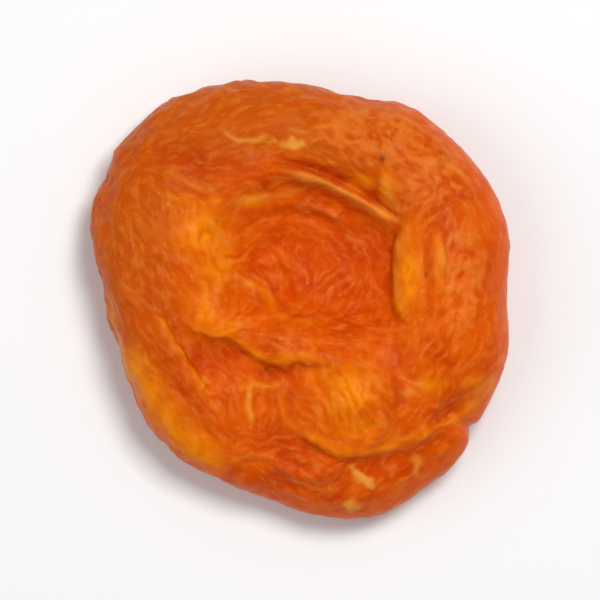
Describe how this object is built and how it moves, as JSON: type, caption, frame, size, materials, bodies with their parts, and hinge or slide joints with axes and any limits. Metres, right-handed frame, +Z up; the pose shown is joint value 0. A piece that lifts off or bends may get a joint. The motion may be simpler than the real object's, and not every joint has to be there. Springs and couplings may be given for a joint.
{
  "type": "dried apricot",
  "caption": "Whole pitted dried apricot: a puffed round rim, a sunken wrinkled middle and the slit that the stone came out of, lying flat.",
  "frame": {"origin": "on the surface that the fruit rests on, under the middle of its box", "axes": "+Z up from that surface; +Y towards the side of the fruit that the slit lies on, seen from above; +X to the right of it"},
  "size_m": [0.041, 0.0428, 0.0117],
  "materials": {
    "flesh": "matt to satin, leathery and faintly moist"
  },
  "bodies": {
    "root": {"dried_apricot": "flesh"}
  },
  "joints": []
}
